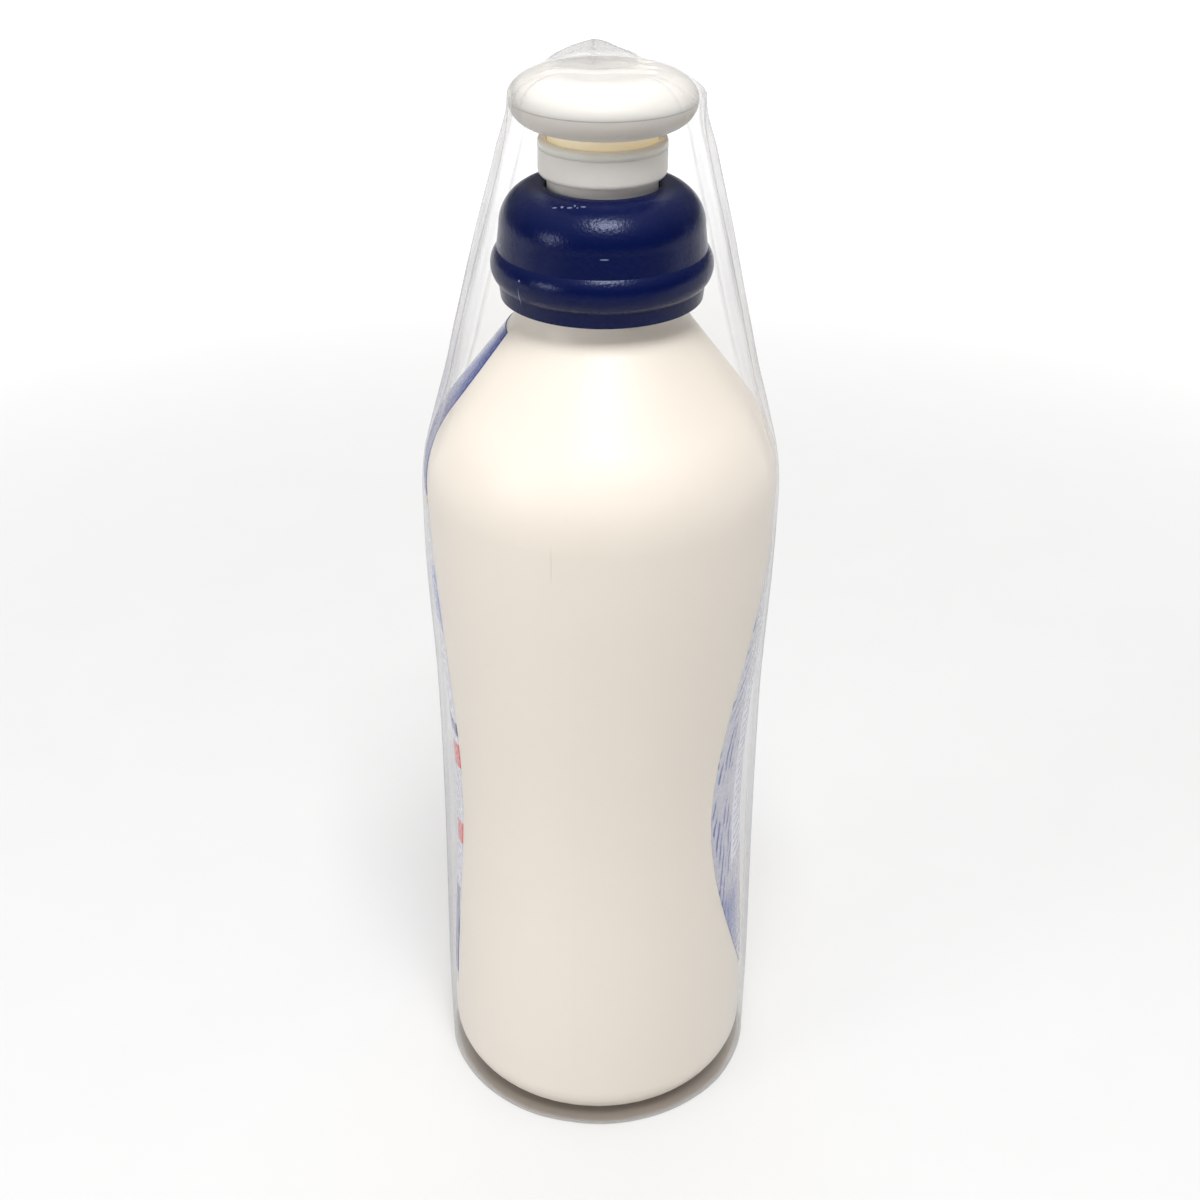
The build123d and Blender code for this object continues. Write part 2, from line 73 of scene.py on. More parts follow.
class Tree:
    """Adds shader nodes with their inputs in one call."""

    def __init__(self, tree):
        self.tree = tree

    def add(self, kind, inputs=None, **settings):
        node = self.tree.nodes.new(kind)
        for key, value in settings.items():
            setattr(node, key, value)
        for key, value in (inputs or {}).items():
            self.put(node.inputs[key], value)
        return node

    def put(self, socket, value):
        if isinstance(value, bpy.types.NodeSocket):
            self.tree.links.new(value, socket)
        elif isinstance(value, bpy.types.Node):
            self.tree.links.new(value.outputs[0], socket)
        else:
            socket.default_value = value

    def math(self, operation, a, b=0.0, clamp=False):
        node = self.tree.nodes.new("ShaderNodeMath")
        node.operation = operation
        node.use_clamp = clamp
        self.put(node.inputs[0], a)
        self.put(node.inputs[1], b)
        return node.outputs[0]

    def step(self, value, low, high, start=0.0, end=1.0):
        """Runs smoothly from start to end as value goes from low to high."""
        node = self.add(
            "ShaderNodeMapRange", {"Value": value}, interpolation_type="SMOOTHSTEP", clamp=True
        )
        for key, number in (("From Min", low), ("From Max", high), ("To Min", start), ("To Max", end)):
            node.inputs[key].default_value = number
        return node.outputs[0]

    def mix(self, factor, a, b):
        node = self.add("ShaderNodeMix", data_type="RGBA")
        self.put(node.inputs[0], factor)
        self.put(node.inputs[6], a)
        self.put(node.inputs[7], b)
        return node.outputs[2]

    def noise(self, scale, detail, vector):
        inputs = {"Scale": scale, "Detail": detail, "Roughness": 0.5, "Vector": vector}
        return self.add("ShaderNodeTexNoise", inputs).outputs["Fac"]

    def place(self, scale=(1, 1, 1)):
        """The place on the piece itself, in metres and stretched by the scale."""
        at = self.add("ShaderNodeTexCoord").outputs["Object"]
        return self.add("ShaderNodeMapping", {"Vector": at, "Scale": scale}).outputs[0]

    def mark(self, centre, reach):
        """1 within a small ellipsoid, given by its centre and half sizes in millimetres."""
        scale = [1 / (MM * half) for half in reach]
        shift = [-at / half for at, half in zip(centre, reach)]
        at = self.add("ShaderNodeTexCoord").outputs["Object"]
        local = self.add("ShaderNodeMapping", {"Vector": at, "Location": shift, "Scale": scale})
        length = self.add("ShaderNodeVectorMath", {0: local.outputs[0]}, operation="LENGTH")
        return self.step(length.outputs["Value"], 0.6, 1.0, 1.0, 0.0)

    def bump(self, height, strength, distance):
        return self.add(
            "ShaderNodeBump", {"Height": height, "Strength": strength, "Distance": distance}
        ).outputs[0]

    def out(self, shader):
        self.add("ShaderNodeOutputMaterial", {"Surface": shader})

    def principled(self, inputs):
        self.out(self.add("ShaderNodeBsdfPrincipled", inputs))


def add_object(name, data):
    """A new object in the scene, of a mesh, a lamp or a camera."""
    made = bpy.data.objects.new(name, data)
    bpy.context.scene.collection.objects.link(made)
    return made


def colour(red, green, blue):
    """A display colour of 0 to 255 as a linear one."""
    linear = []
    for level in (red, green, blue):
        share = level / 255
        linear.append(share / 12.92 if level < 11 else ((share + 0.055) / 1.055) ** 2.4)
    return (*linear, 1.0)


# Centre and half sizes, in millimetres, of the short faint mould line on the shoulder
MOULD_LINE = ((30.72, -2.7, 126.2), (1.5, 0.22, 4.2))


def cream_plastic():
    """Satin blow-moulded polyethylene: warm white, faintly mottled, with a soft orange peel."""
    material, t = node_tree("cream_plastic")
    mottle = t.noise(28.0, 2.0, t.place())
    base = t.mix(mottle, colour(239, 230, 217), colour(242, 234, 223))
    base = t.mix(t.math("MULTIPLY", t.mark(*MOULD_LINE), 0.22), base, colour(205, 190, 172))
    peel = t.noise(900.0, 2.0, t.place())
    flow = t.noise(60.0, 2.0, t.place((1, 1, 0.25)))
    surface = t.math("ADD", t.math("MULTIPLY", peel, 0.25), flow)
    shine = t.step(t.noise(45.0, 4.0, t.place()), 0.3, 0.7, 0.38, 0.45)
    t.principled(
        {
            "Base Color": base,
            "Roughness": shine,
            "Normal": t.bump(surface, 0.12, 0.0004),
            "Specular IOR Level": 0.5,
        }
    )
    return material


# Centre and half sizes, in millimetres, of the closure's small pale scuffs and one long mark
SCUFFS = (
    ((12.45, -4.21, 179.9), (0.28, 0.3, 0.3)),
    ((12.7, -3.0, 179.95), (0.2, 0.55, 0.2)),
    ((12.3, -2.2, 180.2), (0.3, 0.16, 0.3)),
    ((12.5, -0.8, 180.13), (0.2, 0.5, 0.2)),
    ((12.75, -1.7, 180.0), (0.16, 0.16, 0.2)),
    ((12.4, -5.6, 179.7), (0.2, 0.7, 0.15)),
    ((16.7, 3.3, 173.25), (0.6, 0.85, 0.12)),
    ((14.9, -10.73, 168.25), (0.4, 0.2, 0.22)),
    ((7.51, -15.52, 171.33), (0.3, 0.3, 0.16)),
    ((13.9, -10.9, 165.6), (1.5, 0.12, 2.6)),
)


def navy_plastic():
    """Satin navy polypropylene, slightly uneven, with a few pale scuffs where it was handled."""
    material, t = node_tree("navy_plastic")
    cloud = t.noise(60.0, 2.0, t.place())
    base = t.mix(cloud, colour(0, 11, 58), colour(1, 15, 68))
    scuffed = t.mark(*SCUFFS[0])
    for centre, reach in SCUFFS[1:]:
        scuffed = t.math("MAXIMUM", scuffed, t.mark(centre, reach))
    base = t.mix(t.math("MULTIPLY", scuffed, 0.5), base, colour(170, 175, 200))
    shine = t.math("ADD", t.step(cloud, 0.3, 0.7, 0.23, 0.26), t.math("MULTIPLY", scuffed, 0.2))
    relief = t.noise(1900.0, 2.0, t.place())
    t.principled(
        {
            "Base Color": base,
            "Roughness": shine,
            "Normal": t.bump(relief, 0.5, 0.00012),
            "Specular IOR Level": 0.26,
            "Specular Tint": (0.74, 0.80, 1.0, 1.0),
        }
    )
    return material


def white_plastic(name, tone, warm, roughness, milky=0.3, painted_glow=0.0, line=None):
    """Smooth moulded polypropylene with a slight waviness and faint handling dust. A glow above 0 is
    painted light, in place of light that shines through the thin plastic.

    A line, given as a height in millimetres, is the dark parting line under that height.
    """
    material, t = node_tree(name)
    cloud = t.noise(70.0, 3.0, t.place())
    dust = t.step(t.noise(900.0, 2.0, t.place()), 0.72, 0.80)
    base = t.mix(cloud, tone, warm)
    base = t.mix(t.math("MULTIPLY", dust, 0.12), base, colour(170, 160, 145))
    if line is not None:
        height = t.add("ShaderNodeSeparateXYZ", {"Vector": t.place()}).outputs["Z"]
        grey_band = band(t, t.math("MULTIPLY", height, 1000.0), line - 0.16, line + 0.05, 0.05)
        base = t.mix(t.math("MULTIPLY", grey_band, 0.45), base, colour(120, 112, 104))
    relief = t.noise(240.0, 2.0, t.place())
    t.principled(
        {
            "Base Color": base,
            "Roughness": t.step(cloud, 0.3, 0.7, roughness, roughness + 0.06),
            "Normal": t.bump(relief, 0.08, 0.0002),
            "Subsurface Weight": milky,
            "Subsurface Radius": (0.003, 0.0024, 0.0018),
            "Subsurface Scale": 1.0,
            "Specular IOR Level": 0.45,
            # Painted light: any glow stands in for light shining through the thin plastic.
            "Emission Color": warm,
            "Emission Strength": painted_glow,
        }
    )
    return material


def metal(name, tone, roughness):
    """Drawn or ground steel with fine streaks."""
    material, t = node_tree(name)
    streak = t.noise(1500.0, 2.0, t.place((1, 1, 0.1)))
    t.principled(
        {
            "Base Color": t.mix(streak, tone, colour(150, 150, 152)),
            "Metallic": 1.0,
            "Roughness": t.step(streak, 0.3, 0.7, roughness, roughness + 0.12),
            "Normal": t.bump(streak, 0.1, 0.0001),
        }
    )
    return material


def foam():
    """Closed-cell foam of the neck gasket."""
    material, t = node_tree("gasket_foam")
    cells = t.add("ShaderNodeTexVoronoi", {"Scale": 1800.0, "Vector": t.place()}).outputs["Distance"]
    t.principled(
        {
            "Base Color": t.mix(cells, colour(232, 230, 226), colour(205, 203, 198)),
            "Roughness": 0.85,
            "Normal": t.bump(cells, 0.5, 0.0002),
        }
    )
    return material


def clear_film():
    """Thin clear film: clear face on, greyer where it is seen edge on or lies in folds, with painted grey
    down its limbs and a painted grey-brown shadow on the tuck under the heel.
    """
    material, t = node_tree("clear_film")
    fine = t.noise(150.0, 2.0, t.place((1, 1, 0.12)))
    ripple = t.noise(420.0, 2.0, t.place((1, 1, 0.3)))
    relief = t.math("ADD", fine, t.math("MULTIPLY", ripple, 0.15))
    normal = t.bump(relief, 0.3, 0.0005)
    facing = t.add("ShaderNodeLayerWeight", {"Blend": 0.5, "Normal": normal}).outputs["Facing"]
    edge = t.math("POWER", facing, 4.0)
    # Fold strength holds the creases and also the painted grey down the limbs, where the film is seen
    # edge-on.
    fold = t.add("ShaderNodeAttribute", attribute_name="fold").outputs["Fac"]
    # Painted shadow: this attribute turns the tuck under the heel grey-brown, standing in for the
    # shadowed floor seen through the film.
    foot_shadow = t.add("ShaderNodeAttribute", attribute_name="foot_shadow").outputs["Fac"]
    tint = t.mix(edge, (0.985, 0.985, 0.985, 1), (0.84, 0.84, 0.85, 1))
    clear = t.add("ShaderNodeBsdfTransparent", {"Color": tint})
    gloss = t.add("ShaderNodeBsdfGlossy", {"Color": (1, 1, 1, 1), "Roughness": 0.12, "Normal": normal})
    mirror = t.add("ShaderNodeFresnel", {"IOR": 1.3, "Normal": normal})
    mirror = t.math("SUBTRACT", mirror, 0.028, clamp=True)
    shine = t.math("MINIMUM", t.math("MULTIPLY", mirror, 0.8), 0.16)
    body = t.add("ShaderNodeMixShader", {0: shine, 1: clear, 2: gloss})
    streak = t.step(t.noise(200.0, 2.0, t.place((1, 1, 0.05))), 0.35, 0.65, 0.5, 1.0)
    height = t.add("ShaderNodeSeparateXYZ", {"Vector": t.place()}).outputs["Z"]
    crown_share = t.math("MULTIPLY", t.step(height, 0.1950, 0.1990), t.step(fold, 0.30, 0.55))
    streak = t.math("MAXIMUM", streak, t.math("MULTIPLY", crown_share, 0.9))
    grey = t.mix(crown_share, (0.64, 0.63, 0.63, 1), (0.47, 0.465, 0.47, 1))
    # Grey of the folds and the painted limb bands, turning to the grey-brown of the painted shadow at the
    # hem.
    dull = t.mix(foot_shadow, grey, colour(168, 158, 147))
    front = t.add("ShaderNodeBsdfDiffuse", {"Color": dull, "Normal": normal})
    through = t.add("ShaderNodeBsdfTranslucent", {"Color": dull, "Normal": normal})
    haze = t.add("ShaderNodeMixShader", {0: 0.5, 1: front, 2: through})
    veil = t.math("MULTIPLY", t.math("MULTIPLY", fold, streak), 0.85)
    veil = t.math("ADD", veil, t.math("MULTIPLY", edge, 0.12))
    # The tuck is almost fully veiled in the painted shadow.
    veil = t.math("ADD", veil, t.math("MULTIPLY", foot_shadow, 0.92), clamp=True)
    t.out(t.add("ShaderNodeMixShader", {0: veil, 1: body, 2: haze}))
    return material


def paint(node, material):
    """Gives a carried-over solid its material."""
    piece = NODES[node]
    piece.data.materials.clear()
    piece.data.materials.append(material)


def bump_curve(value, centre, width):
    """A rounded ridge, 1 at the centre and 0 beyond the width."""
    reach = np.clip(np.abs(value - centre) / width, 0, 1)
    return (1 - reach**2) ** 2


def crease(value, centre, width):
    """A sharp ridge, 1 at the centre, falling in straight flanks to 0 at the width."""
    return np.clip(1 - np.abs(value - centre) / width, 0, 1)


def ramp(value, low, high):
    """0 below low, 1 above high, smooth between."""
    share = np.clip((value - low) / (high - low), 0, 1)
    return share * share * (3 - 2 * share)


# Film hood sizes, in millimetres: the hem's height, its tuck under the heel, the gap and the tent
FILM_HEM = 0.3
TUCK_WIDTH = 6.7
TUCK_DROP = 0.22
FILM_CAP_GAP = 0.22
FILM_TENT = 3.3
# Points round the hood, and rows of its tuck, foot, waist, tent and cap
FILM_COLUMNS = 320
TUCK_ROWS = 5
FOOT_ROWS = 14
WAIST_ROWS = 34
TENT_ROWS = 96
CAP_ROWS = 46
# The foot rows end at the first of these heights, and the waist rows at the second
FOOT_TOP = 12
WAIST_TOP = 112
# Heights and the hood's radius at each
FILM_PROFILE = (
    (0.0, 30.45),
    (12.0, 30.5),
    (40.0, 30.15),
    (65.0, 30.0),
    (88.0, 30.2),
    (112.0, 31.15),
    (122.0, 31.38),
    (129.0, 31.32),
    (134.5, 30.62),
    (140.0, 28.95),
    (146.0, 27.1),
    (155.0, 24.9),
    (171.0, 20.9),
    (185.0, 17.1),
    (192.0, 15.55),
    (194.6, 15.4),
)


def smooth_profile(table, at):
    """A smooth curve through a table of places and values."""
    places = np.array([row[0] for row in table])
    values = np.array([row[1] for row in table])
    slopes = np.gradient(values, places)
    index = np.clip(np.searchsorted(places, at) - 1, 0, len(places) - 2)
    gap = places[index + 1] - places[index]
    t = np.clip((at - places[index]) / gap, 0, 1)
    return (
        (2 * t**3 - 3 * t**2 + 1) * values[index]
        + (t**3 - 2 * t**2 + t) * gap * slopes[index]
        + (3 * t**2 - 2 * t**3) * values[index + 1]
        + (t**3 - t**2) * gap * slopes[index + 1]
    )


def film_point_grid():
    """Points, fold strength and painted shadow strength of the hood, row by row from the hem to the peak.
    """
    turn = np.linspace(-math.pi, math.pi, FILM_COLUMNS, endpoint=False)
    side_top, top_radius = FILM_PROFILE[-1]
    side = np.concatenate(
        [
            np.linspace(FILM_HEM, FOOT_TOP, FOOT_ROWS, endpoint=False),
            np.linspace(FOOT_TOP, WAIST_TOP, WAIST_ROWS, endpoint=False),
            np.linspace(WAIST_TOP, side_top, TENT_ROWS),
        ]
    )
    turn_grid, z = np.meshgrid(turn, side)
    radius = smooth_profile(FILM_PROFILE, z)
    shift, fold = side_folds(turn_grid, z)
    radius = radius + shift
    # Painted shadow at the hem: faint on the lowest few millimetres of the wall, full on the tuck.
    foot_shadow = 0.10 * (1 - ramp(z, 0.8, 4.0))
    # The tuck is a sheet turned in under the heel that carries the painted shadow.
    tuck = radius[:1] - np.linspace(TUCK_WIDTH, 0.0, TUCK_ROWS, endpoint=False)[:, None]
    tuck_turn = np.repeat(turn_grid[:1], TUCK_ROWS, 0)
    tuck_z = FILM_HEM - TUCK_DROP * (radius[:1] - tuck) / TUCK_WIDTH
    tuck_points = [tuck * np.sin(tuck_turn), -tuck * np.cos(tuck_turn), tuck_z]
    rows = [
        np.stack(tuck_points, -1),
        np.stack([radius * np.sin(turn_grid), -radius * np.cos(turn_grid), z], -1),
    ]
    folds, foot_shadows = [np.zeros_like(tuck), fold], [np.ones_like(tuck), foot_shadow]
    last = radius[-1]
    # The cap rows run over the head's rim until this share, and then in to the centre
    rim_share = 0.45
    for share in np.linspace(0, 1, CAP_ROWS)[1:]:
        tilt = math.radians(8 + 82 * min(share / rim_share, 1.0))
        reach = CAP_FLAT + (HEAD_RADIUS - CAP_FLAT + FILM_CAP_GAP) * math.cos(tilt)
        height = HEAD_PARTING + (CAP_HEIGHT + FILM_CAP_GAP) * math.sin(tilt)
        if share > rim_share:
            reach = CAP_FLAT * (1 - (share - rim_share) / (1 - rim_share)) + 0.05
        blend = 1 - ramp(share, 0.0, 0.2)
        ring = reach + (last - top_radius) * blend
        x = ring * np.sin(turn)
        y = -ring * np.cos(turn)
        lift, cap_fold = crown(x, y)
        near = ramp(share, 0.05, 0.4)
        rows.append(np.stack([x, y, height + lift * near], -1)[None])
        arcs = rim_creases(np.degrees(turn), share)
        folds.append(np.clip(cap_fold * near + fold[-1] * blend + arcs, 0, 1)[None])
        foot_shadows.append(np.zeros_like(turn)[None])
    return np.concatenate(rows), np.concatenate(folds), np.concatenate(foot_shadows)


def rim_creases(degrees, share):
    """Fine creases that run down over the head's rim at both limbs."""
    down = 1 - ramp(share, 0.35, 0.6)
    fold = 0.55 * crease(degrees, -56 - 12 * share, 1.6) + 0.3 * crease(degrees, -70 + 8 * share, 2.2)
    fold += 0.5 * crease(degrees, 64 - 14 * share, 1.7) + 0.3 * crease(degrees, 49 + 6 * share, 2.0)
    return fold * down


def side_folds(turn, z):
    """Radial shift and fold strength: pleats, painted grey bands down both limbs of the tent and the
    lower body where the film is seen edge-on, and soft waves.
    """
    low, high = SHOULDER_HEIGHT + 1, HEAD_PARTING
    up = np.clip((z - low) / (high - low), 0, 1)
    tent = ramp(z, low, low + 16)
    loose = tent * (1 - 0.8 * ramp(z, high - 9, high))
    degrees = np.degrees(turn)
    # The hood stands off a little further at the image's right than at its left
    shift = 0.9 * ramp(z, 150, 190) * bump_curve(degrees, 92, 80)
    shift -= 0.25 * tent * bump_curve(degrees, -92, 70)
    fold = np.zeros_like(z)
    # Angle at the shoulder and at the head in degrees, width in degrees, and depth in millimetres
    pleats = [
        (-99, -96, 8, 0.75),
        (-86, -82, 6, -0.55),
        (-74, -67, 6, 0.5),
        (98, 95, 8, 0.75),
        (86, 80, 6, -0.55),
        (75, 68, 6, 0.5),
        (118, 128, 9, 0.5),
        (-120, -132, 9, 0.55),
        (148, 156, 10, 0.6),
        (-158, -150, 9, -0.5),
        (176, 172, 8, 0.5),
    ]
    for start, end, width, depth in pleats:
        centre = start + (end - start) * up
        shift += depth * loose * crease(degrees, centre, width * (0.8 + 0.5 * up))
        fold += 0.45 * tent * crease(degrees, centre, 1.5 + 1.2 * up)
    # Painted grey down both limbs of the tent, where the camera sees the film edge-on.
    for side in (-1, 1):
        inner, outer = 68 - 14 * up, 104
        grey_band = ramp(degrees * side, inner - 3, inner + 5) * (1 - ramp(degrees * side, outer, outer + 12))
        fold += 0.34 * tent * grey_band
    lower = 1 - ramp(z, 112, 126)
    # Painted grey down both limbs of the lower body, where the film is seen edge-on.
    for side in (-1, 1):
        limb = ramp(degrees * side, 80, 92) * (1 - ramp(degrees * side, 112, 124))
        fold += 0.28 * lower * ramp(z, 4, 20) * limb
    for k, place in enumerate((-100, -88, 89, 99, 170)):
        centre = place + 2.5 * np.sin(z / 21.0 + 1.7 * k)
        shift += 0.22 * lower * ramp(z, 0, 30) * bump_curve(degrees, centre, 6)
        fold += 0.22 * lower * crease(degrees, centre, 1.2)
    hem = 1 - ramp(z, 0, 7)
    shift += 0.07 * hem * (np.sin(turn * 9) * 0.6 + np.sin(turn * 14 + 1.0) * 0.4)
    return shift, np.clip(fold, 0, 1)


def crown(x, y):
    """Height and fold strength of the film over the head's top: a small tent and cross wrinkles."""
    peak_x, peak_y = -1.6, 5.2
    left = np.clip(1 - (peak_x - x) / 8.2, 0, 1)
    right = np.clip(1 - (x - peak_x) / 8.0, 0, 1)
    along = np.where(x < peak_x, left, right)
    along = along * (1.5 - 0.5 * along)
    back = np.clip(1 - np.abs(y - peak_y) / np.where(y > peak_y, 5.0, 6.0), 0, 1)
    lift = FILM_TENT * along * back
    fold = 0.5 * ramp(along * back, 0.01, 0.2)
    fold = fold + 0.5 * crease(y, peak_y, 0.5) * along
    fold = fold + 0.35 * crease(x, peak_x, 0.35) * back
    # Place, slant, width, height, and the start and end from left to right, in millimetres
    wrinkles = [
        (-2.3, 0.02, 1.2, 0.55, -10.5, 9.5),
        (-0.2, 0.05, 1.0, 0.50, -9.0, 8.0),
        (1.4, -0.06, 0.9, 0.45, -10.0, 9.5),
        (3.2, 0.08, 0.9, 0.45, -9.0, 5.0),
        (4.6, -0.04, 0.8, 0.35, -4.0, 9.0),
        (6.3, 0.03, 0.8, 0.35, -8.0, 8.0),
    ]
    for place, slant, width, height, start, end in wrinkles:
        line = place + slant * x + 0.3 * np.sin(x * 0.8 + 3 * place)
        span = ramp(x, start, start + 3) * (1 - ramp(x, end - 3, end))
        lift = lift + height * span * crease(y, line, width)
        fold = fold + 0.16 * span * crease(y, line - 0.35, width * 0.35)
    return lift, np.clip(fold, 0, 1)


def make_film():
    """The clear hood as one sheet: hem, sides, tent and crown."""
    points, fold, foot_shadow = film_point_grid()
    rows, columns = fold.shape
    flat = points.reshape(-1, 3) * MM
    world = (
        flat[:, 0:1] * np.array(RIGHTWARD)
        - flat[:, 1:2] * np.array(TOWARD)
        + flat[:, 2:3] * np.array((0, 0, 1))
    )
    faces = []
    for row in range(rows - 1):
        for column in range(columns):
            after = (column + 1) % columns
            a, b = row * columns + column, row * columns + after
            faces.append((a, b, b + columns, a + columns))
    top = len(world)
    world = np.concatenate([world, world[-columns:].mean(0)[None]])
    for column in range(columns):
        faces.append(((rows - 1) * columns + column, (rows - 1) * columns + (column + 1) % columns, top))
    mesh = bpy.data.meshes.new("film_sheet")
    mesh.from_pydata(world.tolist(), [], faces)
    # The shader reads fold strength and the painted shadow at the hem.
    for name, values in (("fold", fold), ("foot_shadow", foot_shadow)):
        layer = mesh.attributes.new(name, "FLOAT", "POINT")
        layer.data.foreach_set("value", np.append(values.reshape(-1), 0.0).astype(np.float32))
    mesh.polygons.foreach_set("use_smooth", [True] * len(mesh.polygons))
    film = add_object("film_sheet", mesh)
    film.data.materials.append(clear_film())
    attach(film, "film")
    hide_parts("film_hood")


def label_material(name, art):
    """Printed label film. The art works on the place across and up the label, in millimetres."""
    material, t = node_tree(name)
    at = t.add("ShaderNodeTexCoord").outputs["Object"]
    split = t.add("ShaderNodeSeparateXYZ", {"Vector": at})
    across = t.math("MULTIPLY", split.outputs["X"], 1000.0)
    up = t.math("MULTIPLY", split.outputs["Z"], 1000.0)
    base = art(t, across, up)
    grain = t.noise(800.0, 2.0, t.place())
    t.principled(
        {
            "Base Color": base,
            "Roughness": t.step(grain, 0.3, 0.7, 0.22, 0.30),
            "Normal": t.bump(grain, 0.05, 0.0001),
            "Coat Weight": 0.3,
            "Coat Roughness": 0.15,
        }
    )
    return material


def band(t, value, low, high, soft=0.12):
    """1 where value lies between low and high, with soft edges."""
    rise = t.step(value, low - soft, low + soft)
    fall = t.step(value, high - soft, high + soft)
    return t.math("MULTIPLY", rise, t.math("SUBTRACT", 1.0, fall))


def front_art(t, across, up):
    """Pale ground, a navy field over the shoulder, red and navy bars at both sides, and a ring."""
    ground = t.mix(t.step(up, 20.0, 125.0), colour(206, 207, 220), colour(220, 221, 230))
    wave = t.math("MULTIPLY", t.math("SINE", t.math("MULTIPLY", across, 0.35)), 2.2)
    shade = t.math("ADD", up, wave)
    base = t.mix(band(t, shade, 100.0, 112.0, 1.5), ground, colour(150, 162, 208))
    base = t.mix(t.step(up, 127.4, 127.9), base, colour(62, 78, 146))
    base = t.mix(band(t, up, 126.2, 127.0), base, colour(206, 178, 110))
    wide = t.math("ABSOLUTE", across)
    slant = t.math("ADD", up, t.math("MULTIPLY", wide, -0.35))
    edges = band(t, wide, 9.6, 30.0)
    box_sides = band(t, wide, 9.0, 12.6)
    middle = t.step(wide, 7.9, 8.1, 1.0, 0.0)
    # Direction, low and high end, reach across, and tone of each bar
    bars = (
        (up, 79.0, 82.0, edges, (46, 60, 130)),
        (slant, 66.6, 72.0, edges, (214, 54, 58)),
        (slant, 48.4, 53.4, edges, (214, 54, 58)),
        (up, 19.0, 41.0, box_sides, (52, 66, 140)),
        (up, 55.0, 63.0, middle, (46, 60, 130)),
        (up, 24.0, 26.0, middle, (120, 132, 190)),
        (up, 30.0, 32.0, middle, (120, 132, 190)),
    )
    for value, low, high, mask, tone in bars:
        base = t.mix(t.math("MULTIPLY", band(t, value, low, high), mask), base, colour(*tone))
    ring_height, ring_radius, ring_hole = 96.0, 8.35, 5.75
    rise = t.math("SUBTRACT", up, ring_height)
    square = t.math("ADD", t.math("POWER", across, 2.0), t.math("POWER", rise, 2.0))
    disc = t.math("POWER", square, 0.5)
    for radius, tone in ((ring_radius, (38, 52, 120)), (ring_hole, (232, 233, 241))):
        inside = t.step(disc, radius - 0.15, radius + 0.15, 1.0, 0.0)
        base = t.mix(inside, base, colour(*tone))
    return base


def back_art(t, across, up):
    """Pale ground with fields of blue strokes at both sides and a ruled panel in the middle."""
    ground = t.mix(t.step(up, 20.0, 118.0), colour(188, 188, 202), colour(206, 206, 216))
    ripple = t.math("MULTIPLY", t.noise(140.0, 2.0, t.place()), 3.0)
    gaps = t.step(t.noise(420.0, 2.0, t.place((1, 1, 0.35))), 0.42, 0.56)
    slant = t.math("ADD", t.math("MULTIPLY", up, 1.3), t.math("MULTIPLY", across, 1.6))
    feathers = t.math("SINE", t.math("MULTIPLY", t.math("ADD", slant, ripple), 1.7))
    feathers = t.math("MULTIPLY", t.step(feathers, 0.1, 0.7), t.step(up, 76.0, 88.0, 0.0, 0.6))
    lean = t.math("ADD", t.math("MULTIPLY", across, 1.1), t.math("MULTIPLY", up, 0.14))
    lines = t.math("SINE", t.math("MULTIPLY", t.math("ADD", lean, t.math("MULTIPLY", ripple, 0.7)), 4.2))
    lines = t.math("MULTIPLY", t.step(lines, 0.0, 0.6), t.step(up, 78.0, 90.0, 1.0, 0.0))
    ink = t.math("MULTIPLY", t.math("ADD", feathers, lines), gaps)
    wide = t.math("ABSOLUTE", across)
    edge_field = t.step(wide, 3.0, 8.0)
    base = t.mix(t.math("MULTIPLY", ink, edge_field), ground, colour(84, 98, 166))
    lower = band(t, up, 24.0, 44.0, 3.0)
    base = t.mix(t.math("MULTIPLY", lower, t.step(wide, 1.0, 5.0, 0.25, 0.7)), base, colour(84, 98, 166))
    rows = t.math("SINE", t.math("MULTIPLY", up, 3.4))
    panel = t.math("MULTIPLY", band(t, up, 50.0, 92.0), t.step(wide, 6.6, 6.8, 1.0, 0.0))
    base = t.mix(panel, base, colour(233, 234, 242))
    rule = t.math("MULTIPLY", t.step(rows, 0.3, 0.5), t.step(wide, 5.6, 5.8, 1.0, 0.0))
    rule = t.math("MULTIPLY", panel, rule)
    return t.mix(t.math("MULTIPLY", rule, 0.6), base, colour(88, 102, 168))


def make_thread():
    """The neck's thread: one ridge, in millimetres, that climbs once and a half round the neck."""
    turns, pitch, start = 1.5, 3.0, 165.2
    root, crest, half = 13.95, 14.8, 0.85
    section = ((root, -half), (crest, 0), (root, half), (root - 0.4, 0))
    steps = 150
    neck = bmesh.new()
    rings = []
    for step in range(steps + 1):
        share = step / steps
        angle = share * turns * 2 * math.pi
        height = start + pitch * turns * share
        grow = min(1.0, 8 * share, 8 * (1 - share))
        ring = []
        for radius, offset in section:
            if radius == crest:
                radius = root + (crest - root) * grow
            x, y, z = radius * math.cos(angle), radius * math.sin(angle), height + offset
            ring.append(neck.verts.new((x * MM, y * MM, z * MM)))
        rings.append(ring)
    for low, high in zip(rings, rings[1:]):
        for k in range(4):
            neck.faces.new((low[k], high[k], high[(k + 1) % 4], low[(k + 1) % 4]))
    neck.faces.new(rings[0][::-1])
    neck.faces.new(rings[-1])
    bmesh.ops.recalc_face_normals(neck, faces=neck.faces)
    mesh = bpy.data.meshes.new("neck_thread")
    neck.to_mesh(mesh)
    neck.free()
    thread = add_object("neck_thread", mesh)
    thread.data.materials.append(NODES["bottle"].data.materials[0])
    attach(thread, "bottle")


